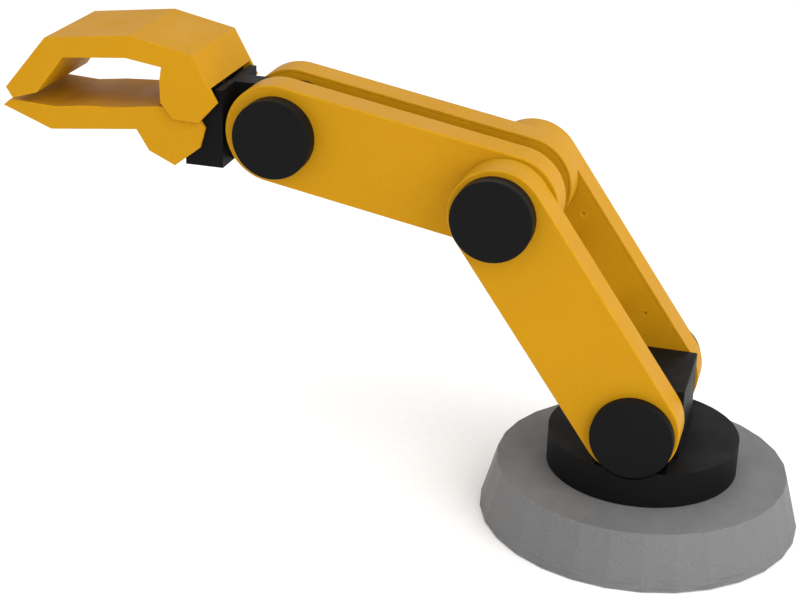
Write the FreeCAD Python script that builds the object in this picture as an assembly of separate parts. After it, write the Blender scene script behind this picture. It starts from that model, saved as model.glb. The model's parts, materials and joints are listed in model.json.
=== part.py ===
import FreeCAD, Part
import math
import os

# Desktop robot arm: a grey faceted base, a turning black turret, a two-plate upper arm,
# a two-plate forearm, a wrist and a geared two-jaw gripper.
# Millimetres, +Z up, origin at the centre of the face the base stands on.
# At rest the arm lies in the XZ plane and reaches toward -X; left is -Y, right is +Y.

V = FreeCAD.Vector
Y_AXIS = V(0, 1, 0)
ORIGIN = V(0, 0, 0)
LEVEL = 1e-4

# ---- driving dimensions ----------------------------------------------------------

# Base
BASE_FACETS = 30
BASE_CORNER_ANGLE = 4.5
BASE_FOOT_R = 88.9
BASE_TOP_R = 80.7
BASE_TOP_Z = 30.4
SHELL_FOOT_Z = 0.8
BASE_WALL = 2.8
BASE_TOP_T = 3.2
PLATE_R = 84.6
PLATE_TOP_Z = 3.8
BOSS_COUNT = 6
BOSS_RING_R = 74.0
BOSS_R = 4.2
BOSS_SCREW_DEPTH = 11.0
FOOT_COUNT = 4
FOOT_RING_R = 60.0
FOOT_R = 9.0
FOOT_TOP_Z = 2.0
FOOT_CHAMFER = 0.4
HEAD_SEAT_DEPTH = 2.0

# Rear sockets, on the +Y side of the base
PORT_X = 23.0
PORT_Z0 = 7.0
PORT_Z1 = 24.0
PORT_LIP = 3.0
PORT_LIP_GAP = 0.2
PANEL_Z0 = 4.8
PANEL_Z1 = 25.8
PANEL_GAP = 0.2
PANEL_BACK_Y = 73.8
PANEL_LIP_Y = 76.2
PANEL_FRONT_Y = 78.6
SOCKET_Z = 14.0
SOCKET_STAND = 0.4
JACK_X = -12.0
JACK_NOSE_R = 5.0
JACK_HOLE_R = 3.2
JACK_BACK_Y = 62.0
JACK_BORE_Y = 68.0
JACK_PIN_R = 1.1
JACK_PIN_SUNK = 5.0
JACK_HALF_X = 5.2
USB_X = 11.0
USB_HALF_X = 5.9
USB_HALF_Z = 5.3
USB_BACK_Y = 64.0
USB_WALL = 0.9
USB_TONGUE_SUNK = 4.4
USB_TONGUE_HALF_X = 2.8
USB_TONGUE_HALF_Z = 1.6
USB_FOOT_X = 4.2

# Control board
BOARD_HALF_X = 25.8
BOARD_Y0 = 28.0
BOARD_Y1 = 73.4
BOARD_Z0 = 6.8
BOARD_Z1 = 8.4
BOARD_HOLE_X = 22.0
BOARD_HOLE_YS = (32.0, 58.0)
STANDOFF_R = 2.6
STANDOFF_HEAD_T = 1.6
CHIP_T = 1.4
SINK_T = 5.0
SINK_HALF_X = 2.6
SINK_PLACES_X = (-16, 12, 18)
CHIP_HALF_X = 7.0
CHIP_Y0 = 40.0
CHIP_Y1 = 54.0
CAPACITOR_X = -15.5
CAPACITOR_Y = 52.5
HEADER_HALF_X = 3.8
HEADER_Y0 = 29.5
HEADER_Y1 = 34.5
HEADER_T = 7.0
HEADER_WALL = 1.0
HEADER_PLACES_X = (-15, -5, 5, 15)
SINK_Y0 = 38.0
SINK_LENGTH = 8.0
SINK_SLOTS = 3
CAPACITOR_R = 4.0
CAPACITOR_T = 11.0

# Slewing bearing and yaw drive
RACE_OUT_R = 44.0
RACE_GAP_OUT_R = 36.5
RACE_GAP_IN_R = 34.9
RACE_IN_R = 28.0
RACE_Z0 = 22.4
RACE_FLANGE_R = 50.5
RACE_FLANGE_T = 3.0
FLANGE_SCREW_IN = 2.2
RING_SCREW_COUNT = 6
BALL_R = 2.2
BALL_COUNT = 24
BALL_Z = 26.4
GROOVE_CLEARANCE = 0.05
YAW_MOTOR_HALF = 21.15
YAW_MOTOR_Z1 = 21.8
YAW_MOTOR_CORNER = 4.0
YAW_COLLAR_R = 11.0
YAW_COLLAR_T = 1.5
YAW_PLUG_HALF_X = 8.0
YAW_PLUG_REACH = 5.0
YAW_PLUG_Z0 = 1.0
YAW_PLUG_Z1 = 8.0
YAW_SCREW_REACH = 15.5
YAW_SHAFT_R = 2.5
YAW_SHAFT_Z0 = 8.8
YAW_SHAFT_Z1 = 34.8

# Turret
TURRET_R = 52.75
TURRET_Z0 = 30.8
TURRET_Z1 = 50.24
TURRET_WALL = 2.6
POCKET_R = 27.4
POCKET_LINER = 2.4
POCKET_Y0 = 27.5
POCKET_Y1 = 48.7
CAP_POCKET_R = 23.6
BLOCK_X = 23.1
BLOCK_Y = 27.2
BLOCK_Z1 = 89.1
BLOCK_WALL = 4.0
BLOCK_BOLT_X = 18.5
BLOCK_BOLT_Y = 10.0
BLOCK_POST_R = 4.2
BLOCK_POST_T = 8.0
BLOCK_BOLT_DEPTH = 5.0
LEAD_OPEN_HALF = 15.0
FLOOR_OPEN_R = 20.0
HUB_R = 26.0
HUB_T = 3.0
HUB_Z0 = 24.5
HUB_BOSS_R = 8.0
HUB_SCREW_COUNT = 4
HUB_SCREW_RING_R = 23.4
RACE_SCREW_RING_R = 31.2
FLANGE_SCREW_RING_R = 47.4
STUB_FLANGE_R = 15.0
STUB_FLANGE_T = 3.0
STUB_SCREW_RING_R = 11.5

# Arm joints, in the XZ plane
SHOULDER = V(0, 0, 69.87)
ELBOW = V(-80.24, 0, 182.73)
WRIST = V(-206.68, 0, 205.60)

# Upper arm: two hollow plates outside the shoulder block
UPPER_R = 26.2
UPPER_Y0 = 28.1
UPPER_Y1 = 48.1
UPPER_LOW_SHIFT = 3.0
UPPER_HIGH_SHIFT = -1.2
UPPER_SPACERS = (46.0, 92.0)

# Forearm: two hollow plates inside the upper arm
FORE_R = 27.1
FORE_Y0 = 7.8
FORE_Y1 = 26.8
FORE_LOW_SHIFT = -2.4
FORE_HIGH_SHIFT = 2.0
FORE_SPACERS = (40.0, 80.0)

# Common to both arm links
COVER_T = 2.2
COVER_INSET = 1.6
COVER_GAP = 0.1
LINK_WALL = 2.2
LINK_RIM = 2.8
EDGE_CHAMFER = 0.6
SPACER_R = 5.4
SPACER_HOLE_DEPTH = 5.5
MOTOR_R = 19.6
MOTOR_GAP = 0.7
MOTOR_CHAMFER = 1.0
MOTOR_SCREW_DEPTH = 6.0
PLUG_HALF_X = 5.0
PLUG_REACH = 4.0
MOTOR_SCREW_RING_R = 16.8
SEAT_OPEN_R = 14.0
BEARING_R = 10.0
BEARING_SHELF = 2.0
BEARING_RIM = 3.0
SOCKET_RIM = 6.0
SHAFT_END_GAP = 3.0
RUNNING_CLEARANCE = 0.05
WALL_CLEARANCE = 0.6
SHAFT_R = 6.0
WRIST_SHAFT_R = 5.0
COVER_SCREW_X = 15.5
COVER_SCREW_END = 36.0
COVER_SCREW_DEPTH = 6.5
COVER_POST_R = 3.4
LEAD_HALF_X = 4.0
LEAD_T = 1.2
LEAD_GAP = 0.2

# Round caps over the joints
CAP_DEPTH = 9.7
SHOULDER_LEFT_CAP_DEPTH = 5.9
SHOULDER_RIGHT_CAP_DEPTH = 13.9
CAP_WALL = 2.0
SNAP_DEPTH = 1.8
SNAP_GAP = 0.1
SHOULDER_CAP_R = 22.4
ELBOW_CAP_R = 22.1
WRIST_CAP_R = 21.9

# Palm and wrist tongue, measured from the wrist axis
TONGUE_Y = 7.5
TONGUE_R = 22.6
PALM_X0 = -52.2
PALM_X1 = -30.6
PALM_Z0 = -22.0
PALM_Z1 = 21.8
PALM_Y = 26.7
PALM_WALL = 2.4
PALM_CAVITY_Z1 = 13.4
LUG_Y0 = 20.7
LUG_R = 9.0
UPPER_LUG_R = 7.5
POST_R = 2.1
GROOVE_IN_R = 9.2
GROOVE_OUT_R = 13.5

# Gripper gears and pivots
GEAR_MODULE = 1.2
JAW_TEETH = 20
PINION_TEETH = 10
GEAR_Y = 4.0
GEAR_ROOM = 0.8
GEAR_HUB_R = 8.0
PINION_SHAFT_R = 2.4
PINION_SHAFT_Y = 9.0
SERVO_HALF_X = 5.9
SERVO_HALF_Z = 11.0
SERVO_Y0 = 6.0
SERVO_Y1 = 23.6
SERVO_NOSE_R = 5.0
PALM_SCREW_END_WALL = 2.0
WRIST_SHAFT_GAP = 0.4
WRIST_SHAFT_END_GAP = 3.0
LEAD_START_GAP = 2.0
JAW_SHAFT_R = 3.0
JAW_BUSH_R = 4.6
LOWER_PIVOT = V(-58.2, 0, -2.4)
PIVOT_ANGLE = 64.3
TEETH_TO_PINION = 4

# Jaws
UPPER_JAW_Y = 32.3
UPPER_CHEEK_Y = 29.7
LOWER_JAW_Y = 29.3
LOWER_CHEEK_Y = 27.0
JAW_WALL = 2.6
SOCKET_DEPTH = 1.6
HOOD_FRONT_X = -62.0
HOOD_EDGE_Z = 23.2
LOWER_WEB_X = -70.0
LOWER_LEDGE_X = -67.2
LOWER_LEDGE_Z = 7.8
BEYOND = 40.0

# Side outlines of the jaws as (x, z) from the wrist axis. The upper one starts with its
# outside, from the tip over the top to the back; the rest runs back along the finger's inside.
UPPER_JAW_OUTSIDE = [(-156.1, 12.2), (-131.2, 42.4), (-81.6, 48.4), (-45.5, 40.8), (-31.6, 15.7)]
UPPER_JAW_REST = [
    (-42.4, 3.8), (-57.0, 4.4), (-64.2, 12.7), (-64.6, 24.6), (-63.4, 32.6), (-84.0, 35.6),
    (-120.9, 32.3), (-137.5, 10.8), (-152.4, 6.4)]
LOWER_JAW_OUTLINE = [
    (-159.7, 0.7), (-131.2, -10.2), (-80.0, -4.7), (-72.9, -16.0), (-57.8, -22.9), (-42.9, -11.1),
    (-39.8, 0.1), (-45.0, 8.4), (-57.0, 9.0), (-66.8, 9.9), (-90.0, 6.6), (-111.1, 5.3),
    (-128.5, 3.1), (-155.3, 4.5)]

# Screws
SCREW_R = 1.5
SCREW_HEAD_R = 2.7
SCREW_HEAD_T = 1.9
SMALL_SCREW_R = 1.2
SMALL_HEAD_R = 2.3
SMALL_HEAD_T = 1.3
SOCKET_SHARE = 0.5
SOCKET_FLOOR = 0.4
HOLE_GAP = 0.1

# ---- worked-out values -----------------------------------------------------------

ROOF_Z = BASE_TOP_Z - BASE_TOP_T
TURRET_FLOOR_Z = TURRET_Z0 + TURRET_WALL
TURRET_ROOF_Z = TURRET_Z1 - TURRET_WALL
STUB_Y = BLOCK_Y - BLOCK_WALL
JAW_PITCH_R = GEAR_MODULE * JAW_TEETH / 2
PINION_PITCH_R = GEAR_MODULE * PINION_TEETH / 2
PINION_ANGLE = PIVOT_ANGLE - TEETH_TO_PINION * 360.0 / JAW_TEETH


def polar(centre, radius, degrees):
    """A point at a radius and angle from a centre, in the XZ plane."""
    a = math.radians(degrees)
    return centre + V(radius * math.cos(a), 0, radius * math.sin(a))


UPPER_PIVOT = polar(LOWER_PIVOT, 2 * JAW_PITCH_R, PIVOT_ANGLE)
PINION_AXIS = polar(LOWER_PIVOT, JAW_PITCH_R + PINION_PITCH_R, PINION_ANGLE)

BOARD_HOLES = [(sx * BOARD_HOLE_X, y) for sx in (-1, 1) for y in BOARD_HOLE_YS]
BLOCK_BOLTS = [(sx * BLOCK_BOLT_X, sy * BLOCK_BOLT_Y) for sx in (-1, 1) for sy in (-1, 1)]
PALM_POSTS = (V(-46.8, 0, -18.4), V(-36.0, 0, -18.4), V(-35.0, 0, 10.9))
PALM_SCREWS = PALM_POSTS + (V(-18.0, 0, -14.0), V(-18.0, 0, 14.0))

UPPER_LENGTH = (ELBOW - SHOULDER).Length
UPPER_TILT = math.degrees(math.atan2(ELBOW.x - SHOULDER.x, ELBOW.z - SHOULDER.z))
FORE_LENGTH = (WRIST - ELBOW).Length
FORE_TILT = math.degrees(math.atan2(WRIST.x - ELBOW.x, WRIST.z - ELBOW.z))


# ---- shape helpers ---------------------------------------------------------------

def box(x0, x1, y0, y1, z0, z1):
    return Part.makeBox(x1 - x0, y1 - y0, z1 - z0, V(x0, y0, z0))


def zcyl(r, z0, z1, x=0.0, y=0.0):
    return Part.makeCylinder(r, z1 - z0, V(x, y, z0))


def ycyl(r, y0, y1, at=ORIGIN):
    return Part.makeCylinder(r, y1 - y0, V(at.x, y0, at.z), Y_AXIS)


def slab(points, y0, y1):
    """A closed outline of (x, z) points, extruded along Y."""
    loop = [V(x, y0, z) for x, z in points]
    face = Part.Face(Part.makePolygon(loop + loop[:1]))
    return face.extrude(V(0, y1 - y0, 0))


def stadium(r, y0, y1, z0, z1):
    """A round-ended plate: end circles of radius r centred at z0 and z1 on the Z axis."""
    left = Part.makeLine(V(-r, y0, z0), V(-r, y0, z1))
    top = Part.Arc(V(-r, y0, z1), V(0, y0, z1 + r), V(r, y0, z1)).toShape()
    right = Part.makeLine(V(r, y0, z1), V(r, y0, z0))
    bottom = Part.Arc(V(r, y0, z0), V(0, y0, z0 - r), V(-r, y0, z0)).toShape()
    face = Part.Face(Part.Wire([left, top, right, bottom]))
    return face.extrude(V(0, y1 - y0, 0))


def ring(r_out, r_in, y0, y1, at=ORIGIN):
    return ycyl(r_out, y0, y1, at).cut(ycyl(r_in, y0, y1, at))


def fuse(shapes):
    return shapes[0].multiFuse(shapes[1:]).removeSplitter()


def cut(shape, tools):
    for tool in tools:
        shape = shape.cut(tool)
    return shape


def mirrored(shape):
    """The same shape on the other side of the arm's middle plane."""
    return shape.mirror(ORIGIN, Y_AXIS)


def both_sides(shape):
    return [shape, mirrored(shape)]


def edges_at_y(shape, y):
    boxes = [(edge, edge.BoundBox) for edge in shape.Edges]
    return [edge for edge, b in boxes if abs(b.YMin - y) < LEVEL and abs(b.YMax - y) < LEVEL]


def on_upper(shape):
    """From the upper arm's own frame (shoulder at 0, elbow up +Z) to its place."""
    return shape.rotated(ORIGIN, Y_AXIS, UPPER_TILT).translated(SHOULDER)


def on_fore(shape):
    """From the forearm's own frame (elbow at 0, wrist up +Z) to its place."""
    return shape.rotated(ORIGIN, Y_AXIS, FORE_TILT).translated(ELBOW)


def on_wrist(shape):
    return shape.translated(WRIST)


def save(name, shapes, move=None):
    """Write one node: a single solid or a group of separate solids."""
    solids = [move(shape) if move else shape for shape in shapes]
    whole = solids[0] if len(solids) == 1 else Part.makeCompound(solids)
    whole.exportStep("parts/" + name + ".step")


def regular_wire(radius, z):
    """A many-sided base outline with one corner at BASE_CORNER_ANGLE from +X."""
    step = 360.0 / BASE_FACETS
    points = []
    for i in range(BASE_FACETS):
        a = math.radians(BASE_CORNER_ANGLE + i * step)
        points.append(V(radius * math.cos(a), radius * math.sin(a), z))
    return Part.makePolygon(points + points[:1])


def frustum(r0, z0, r1, z1):
    return Part.makeLoft([regular_wire(r0, z0), regular_wire(r1, z1)], True, True)


def ring_points(count, radius, start=0.0):
    """Evenly spaced (x, y) places on a circle."""
    places = []
    for i in range(count):
        a = math.radians(start + i * 360.0 / count)
        places.append((radius * math.cos(a), radius * math.sin(a)))
    return places


def z_screw(x, y, head_z, tip_z, r=SCREW_R, head_r=SCREW_HEAD_R, head_t=SCREW_HEAD_T):
    """A socket-head screw standing along Z; the head sits on head_z, away from the tip."""
    if head_z > tip_z:
        head = zcyl(head_r, head_z, head_z + head_t, x, y)
        shank = zcyl(r, tip_z, head_z, x, y)
        socket = zcyl(SOCKET_SHARE * head_r, head_z + SOCKET_FLOOR * head_t, head_z + head_t, x, y)
    else:
        head = zcyl(head_r, head_z - head_t, head_z, x, y)
        shank = zcyl(r, head_z, tip_z, x, y)
        socket = zcyl(SOCKET_SHARE * head_r, head_z - head_t, head_z - SOCKET_FLOOR * head_t, x, y)
    return fuse([head, shank]).cut(socket)


def y_screw(at, head_y, tip_y, r=SMALL_SCREW_R, head_r=SMALL_HEAD_R, head_t=SMALL_HEAD_T):
    """A pan-head screw on the +Y side; the head sits on head_y, away from the tip."""
    if head_y > tip_y:
        head = ycyl(head_r, head_y, head_y + head_t, at)
        shank = ycyl(r, tip_y, head_y, at)
        socket = ycyl(SOCKET_SHARE * head_r, head_y + SOCKET_FLOOR * head_t, head_y + head_t, at)
    else:
        head = ycyl(head_r, head_y - head_t, head_y, at)
        shank = ycyl(r, head_y, tip_y, at)
        socket = ycyl(SOCKET_SHARE * head_r, head_y - head_t, head_y - SOCKET_FLOOR * head_t, at)
    return fuse([head, shank]).cut(socket)


# ---- base ------------------------------------------------------------------------

def base_profile_r(z):
    """Corner radius of the base's outside at a height."""
    share = (z - SHELL_FOOT_Z) / (BASE_TOP_Z - SHELL_FOOT_Z)
    return BASE_FOOT_R + share * (BASE_TOP_R - BASE_FOOT_R)


def flange_screw_places():
    return ring_points(RING_SCREW_COUNT, FLANGE_SCREW_RING_R, 180.0 / RING_SCREW_COUNT)


def base_shell():
    outside = frustum(BASE_FOOT_R, SHELL_FOOT_Z, BASE_TOP_R, BASE_TOP_Z)
    low_r = BASE_FOOT_R - BASE_WALL
    high_r = base_profile_r(ROOF_Z) - BASE_WALL
    inside = frustum(low_r, SHELL_FOOT_Z, high_r, ROOF_Z)
    adds = [zcyl(BOSS_R, PLATE_TOP_Z, ROOF_Z, x, y)
            for x, y in ring_points(BOSS_COUNT, BOSS_RING_R)]
    frame_x = PORT_X + 2 * PORT_LIP
    frame = box(-frame_x, frame_x, PANEL_BACK_Y - PORT_LIP, BASE_FOOT_R, PLATE_TOP_Z, ROOF_Z)
    adds.append(frame.common(outside))
    shell = fuse([outside.cut(inside)] + adds)
    seat_x = PORT_X + PORT_LIP + PORT_LIP_GAP
    holes = [box(-PORT_X, PORT_X, PANEL_LIP_Y, BASE_FOOT_R, PORT_Z0, PORT_Z1)]
    holes.append(box(-seat_x, seat_x, PANEL_BACK_Y - 2 * PORT_LIP, PANEL_LIP_Y,
                     PANEL_Z0 - PORT_LIP_GAP, PANEL_Z1 + PORT_LIP_GAP))
    holes.append(zcyl(RACE_OUT_R, ROOF_Z, BASE_TOP_Z))
    for x, y in ring_points(BOSS_COUNT, BOSS_RING_R):
        holes.append(zcyl(SCREW_R, PLATE_TOP_Z, PLATE_TOP_Z + BOSS_SCREW_DEPTH, x, y))
    for x, y in flange_screw_places():
        holes.append(zcyl(SCREW_R, ROOF_Z, ROOF_Z + FLANGE_SCREW_IN, x, y))
    return cut(shell, holes)


def plate_holes():
    """Places of the holes in the base plate: shell screws, then motor screws."""
    reach = YAW_SCREW_REACH
    motor = [(sx * reach, sy * reach) for sx in (-1, 1) for sy in (-1, 1)]
    return ring_points(BOSS_COUNT, BOSS_RING_R), motor


def foot_places():
    return ring_points(FOOT_COUNT, FOOT_RING_R, 180.0 / FOOT_COUNT)


def base_plate():
    plate = frustum(PLATE_R, SHELL_FOOT_Z, PLATE_R, PLATE_TOP_Z)
    shell_holes, motor_holes = plate_holes()
    seat_z = SHELL_FOOT_Z + HEAD_SEAT_DEPTH
    holes = []
    for x, y in shell_holes + motor_holes:
        holes.append(zcyl(SCREW_R + HOLE_GAP, SHELL_FOOT_Z, PLATE_TOP_Z, x, y))
        holes.append(zcyl(SCREW_HEAD_R + 2 * HOLE_GAP, SHELL_FOOT_Z, seat_z, x, y))
    for x, y in foot_places():
        holes.append(zcyl(FOOT_R, SHELL_FOOT_Z, FOOT_TOP_Z, x, y))
    return cut(plate, holes)


def rubber_feet():
    feet = []
    for x, y in foot_places():
        pad = zcyl(FOOT_R, 0, FOOT_TOP_Z, x, y)
        rim = [edge for edge in pad.Edges if edge.BoundBox.ZMax < LEVEL]
        feet.append(pad.makeChamfer(FOOT_CHAMFER, rim))
    return feet


def screws_up(places, depth):
    """Screws driven up through the base plate, to a depth above it."""
    head_z = SHELL_FOOT_Z + HEAD_SEAT_DEPTH
    return [z_screw(x, y, head_z, PLATE_TOP_Z + depth) for x, y in places]


def control_board():
    board = box(-BOARD_HALF_X, BOARD_HALF_X, BOARD_Y0, BOARD_Y1, BOARD_Z0, BOARD_Z1)
    holes = [zcyl(SCREW_R + HOLE_GAP, BOARD_Z0, BOARD_Z1, x, y) for x, y in BOARD_HOLES]
    return cut(board, holes)


def open_box(half_x, x, y0, y1, height, wall):
    """A lead header standing on the board, with a well in its top."""
    top = BOARD_Z1 + height
    outside = box(x - half_x, x + half_x, y0, y1, BOARD_Z1, top)
    well_x = half_x - wall
    return outside.cut(box(x - well_x, x + well_x, y0 + wall, y1 - wall, BOARD_Z1 + 2 * wall, top))


def heat_sink(x):
    """A motor driver under its finned heat sink."""
    half_x = SINK_HALF_X
    top = BOARD_Z1 + SINK_T
    sink = box(x - half_x, x + half_x, SINK_Y0, SINK_Y0 + SINK_LENGTH, BOARD_Z1, top)
    pitch = SINK_LENGTH / (SINK_SLOTS + 0.5)
    slots = []
    for i in range(SINK_SLOTS):
        y = SINK_Y0 + (i + 0.5) * pitch
        slots.append(box(x - half_x, x + half_x, y, y + 0.5 * pitch, BOARD_Z1 + 0.4 * SINK_T, top))
    return cut(sink, slots)


def board_parts():
    """Processor, three motor drivers with heat sinks, a capacitor and the lead headers."""
    parts = [box(-CHIP_HALF_X, CHIP_HALF_X, CHIP_Y0, CHIP_Y1, BOARD_Z1, BOARD_Z1 + CHIP_T)]
    parts += [heat_sink(x) for x in SINK_PLACES_X]
    parts.append(zcyl(CAPACITOR_R, BOARD_Z1, BOARD_Z1 + CAPACITOR_T, CAPACITOR_X, CAPACITOR_Y))
    parts += [open_box(HEADER_HALF_X, x, HEADER_Y0, HEADER_Y1, HEADER_T, HEADER_WALL)
              for x in HEADER_PLACES_X]
    return parts


def board_standoffs():
    posts = []
    for x, y in BOARD_HOLES:
        post = zcyl(STANDOFF_R, PLATE_TOP_Z, BOARD_Z0, x, y)
        stud = zcyl(SCREW_R, BOARD_Z0, BOARD_Z1, x, y)
        head = zcyl(SCREW_HEAD_R, BOARD_Z1, BOARD_Z1 + STANDOFF_HEAD_T, x, y)
        posts.append(fuse([post, stud, head]))
    return posts


def port_panel():
    """Plate behind the window in the skirt: its front stands in the window, its lip behind it."""
    front_x = PORT_X - PANEL_GAP
    lip_x = PORT_X + PORT_LIP
    front = box(-front_x, front_x, PANEL_LIP_Y, PANEL_FRONT_Y,
                PORT_Z0 + PANEL_GAP, PORT_Z1 - PANEL_GAP)
    lip = box(-lip_x, lip_x, PANEL_BACK_Y, PANEL_LIP_Y, PANEL_Z0, PANEL_Z1)
    holes = [ycyl(JACK_NOSE_R, PANEL_BACK_Y, PANEL_FRONT_Y, V(JACK_X, 0, SOCKET_Z))]
    holes.append(box(USB_X - USB_HALF_X, USB_X + USB_HALF_X, PANEL_BACK_Y, PANEL_FRONT_Y,
                     SOCKET_Z - USB_HALF_Z, SOCKET_Z + USB_HALF_Z))
    return cut(fuse([front, lip]), holes)


def power_inlet():
    """Round low-voltage inlet: body, nose, bore and a centre pin that stays below the mouth."""
    at = V(JACK_X, 0, SOCKET_Z)
    mouth_y = PANEL_FRONT_Y + SOCKET_STAND
    body = box(JACK_X - JACK_HALF_X, JACK_X + JACK_HALF_X, JACK_BACK_Y, PANEL_BACK_Y,
               BOARD_Z1, SOCKET_Z + JACK_HALF_X)
    shell = fuse([body, ycyl(JACK_NOSE_R, PANEL_BACK_Y, mouth_y, at)])
    shell = shell.cut(ycyl(JACK_HOLE_R, JACK_BORE_Y, mouth_y, at))
    pin = ycyl(JACK_PIN_R, JACK_BORE_Y - 0.5, mouth_y - JACK_PIN_SUNK, at)
    return fuse([shell, pin])


def usb_socket():
    """Square data socket: metal shell round a tongue that stays below the mouth."""
    wall = USB_WALL
    foot_y0 = USB_BACK_Y + 1
    foot_y1 = PANEL_BACK_Y - 1
    mouth_y = PANEL_FRONT_Y + SOCKET_STAND
    z0 = SOCKET_Z - USB_HALF_Z
    z1 = SOCKET_Z + USB_HALF_Z
    shell = box(USB_X - USB_HALF_X, USB_X + USB_HALF_X, USB_BACK_Y, mouth_y, z0, z1)
    well_x = USB_HALF_X - wall
    well_y = USB_BACK_Y + 4
    well = box(USB_X - well_x, USB_X + well_x, well_y, mouth_y, z0 + wall, z1 - wall)
    tongue = box(USB_X - USB_TONGUE_HALF_X, USB_X + USB_TONGUE_HALF_X, well_y - 0.5,
                 mouth_y - USB_TONGUE_SUNK, SOCKET_Z - USB_TONGUE_HALF_Z,
                 SOCKET_Z + USB_TONGUE_HALF_Z)
    feet = [box(x - 1, x + 1, foot_y0, foot_y1, BOARD_Z1, z0 + 0.1)
            for x in (USB_X - USB_FOOT_X, USB_X + USB_FOOT_X)]
    return fuse([shell.cut(well), tongue] + feet)


# ---- slewing bearing and yaw drive -------------------------------------------------

def groove():
    return Part.makeTorus(0.5 * (RACE_GAP_OUT_R + RACE_GAP_IN_R), BALL_R + GROOVE_CLEARANCE,
                          V(0, 0, BALL_Z))


def slew_outer_race():
    flange_z = ROOF_Z - RACE_FLANGE_T
    race = fuse([zcyl(RACE_OUT_R, RACE_Z0, BASE_TOP_Z), zcyl(RACE_FLANGE_R, flange_z, ROOF_Z)])
    holes = [zcyl(RACE_GAP_OUT_R, RACE_Z0, BASE_TOP_Z), groove()]
    for x, y in flange_screw_places():
        holes.append(zcyl(SCREW_R, flange_z, ROOF_Z, x, y))
    return cut(race, holes)


def slew_race_screws():
    return [z_screw(x, y, ROOF_Z - RACE_FLANGE_T, ROOF_Z + FLANGE_SCREW_IN)
            for x, y in flange_screw_places()]


def race_screw_places():
    return ring_points(RING_SCREW_COUNT, RACE_SCREW_RING_R)


def hub_screw_places():
    return ring_points(HUB_SCREW_COUNT, HUB_SCREW_RING_R, 180.0 / HUB_SCREW_COUNT)


def slew_inner_race():
    race = zcyl(RACE_GAP_IN_R, RACE_Z0, TURRET_Z0).cut(zcyl(RACE_IN_R, RACE_Z0, TURRET_Z0))
    holes = [groove()]
    for x, y in race_screw_places():
        holes.append(zcyl(SCREW_R, RACE_Z0, TURRET_Z0, x, y))
    return cut(race, holes)


def slew_balls():
    pitch_r = 0.5 * (RACE_GAP_OUT_R + RACE_GAP_IN_R)
    return [Part.makeSphere(BALL_R, V(x, y, BALL_Z)) for x, y in ring_points(BALL_COUNT, pitch_r)]


def yaw_motor():
    """Square geared motor with a collar round its shaft and a plug on its rear side."""
    half = YAW_MOTOR_HALF
    z0 = PLATE_TOP_Z
    collar_z = YAW_MOTOR_Z1 + YAW_COLLAR_T
    block = box(-half, half, -half, half, z0, YAW_MOTOR_Z1)
    uprights = [edge for edge in block.Edges if edge.BoundBox.ZLength > 1]
    block = block.makeChamfer(YAW_MOTOR_CORNER, uprights)
    collar = zcyl(YAW_COLLAR_R, YAW_MOTOR_Z1, collar_z)
    plug = box(-YAW_PLUG_HALF_X, YAW_PLUG_HALF_X, half, half + YAW_PLUG_REACH,
               z0 + YAW_PLUG_Z0, z0 + YAW_PLUG_Z1)
    holes = [zcyl(YAW_SHAFT_R + RUNNING_CLEARANCE, YAW_SHAFT_Z0 - 1, collar_z)]
    for x, y in plate_holes()[1]:
        holes.append(zcyl(SCREW_R, z0, z0 + MOTOR_SCREW_DEPTH, x, y))
    return cut(fuse([block, collar, plug]), holes)


def yaw_shaft():
    return zcyl(YAW_SHAFT_R, YAW_SHAFT_Z0, YAW_SHAFT_Z1)


def turret_hub():
    """Drive flange that carries the motor shaft's turn into the turret floor."""
    top_z = TURRET_FLOOR_Z + HUB_T
    hub = fuse([zcyl(HUB_R, TURRET_FLOOR_Z, top_z), zcyl(HUB_BOSS_R, HUB_Z0, TURRET_FLOOR_Z)])
    holes = [zcyl(YAW_SHAFT_R, HUB_Z0, YAW_SHAFT_Z1)]
    for x, y in hub_screw_places():
        holes.append(zcyl(SCREW_R, TURRET_FLOOR_Z, top_z, x, y))
    return cut(hub, holes)


# ---- turret ------------------------------------------------------------------------

def turret_housing():
    """Hollow drum with two arched pockets that the upper arm's round ends turn in."""
    drum = zcyl(TURRET_R, TURRET_Z0, TURRET_Z1)
    room = zcyl(TURRET_R - TURRET_WALL, TURRET_FLOOR_Z, TURRET_ROOF_Z)
    liner = ycyl(POCKET_R + POCKET_LINER, POCKET_Y0 - POCKET_LINER, TURRET_R, SHOULDER)
    room = cut(room, both_sides(liner))
    arch = ycyl(POCKET_R, POCKET_Y0, POCKET_Y1, SHOULDER)
    cap_arch = ycyl(CAP_POCKET_R, POCKET_Y1, TURRET_R + 1, SHOULDER)
    holes = [room] + both_sides(arch) + both_sides(cap_arch)
    holes.append(zcyl(FLOOR_OPEN_R, TURRET_Z0, TURRET_FLOOR_Z))
    holes.append(box(-LEAD_OPEN_HALF, LEAD_OPEN_HALF, -LEAD_OPEN_HALF, LEAD_OPEN_HALF,
                     TURRET_ROOF_Z, TURRET_Z1))
    for x, y in race_screw_places() + hub_screw_places():
        holes.append(zcyl(SCREW_R, TURRET_Z0, TURRET_FLOOR_Z, x, y))
    for x, y in BLOCK_BOLTS:
        holes.append(zcyl(SCREW_R, TURRET_ROOF_Z, TURRET_Z1, x, y))
    return cut(drum, holes)


def turret_screws():
    """Race screws, hub screws and the four that hold the shoulder block."""
    floor_z = TURRET_FLOOR_Z
    screws = [z_screw(x, y, floor_z, RACE_Z0 + 1) for x, y in race_screw_places()]
    screws += [z_screw(x, y, floor_z + HUB_T, TURRET_Z0) for x, y in hub_screw_places()]
    screws += [z_screw(x, y, TURRET_ROOF_Z, TURRET_Z1 + BLOCK_BOLT_DEPTH) for x, y in BLOCK_BOLTS]
    return screws


def stub_screw_places():
    return [polar(SHOULDER, STUB_SCREW_RING_R, 45 + 90 * i) for i in range(4)]


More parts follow.
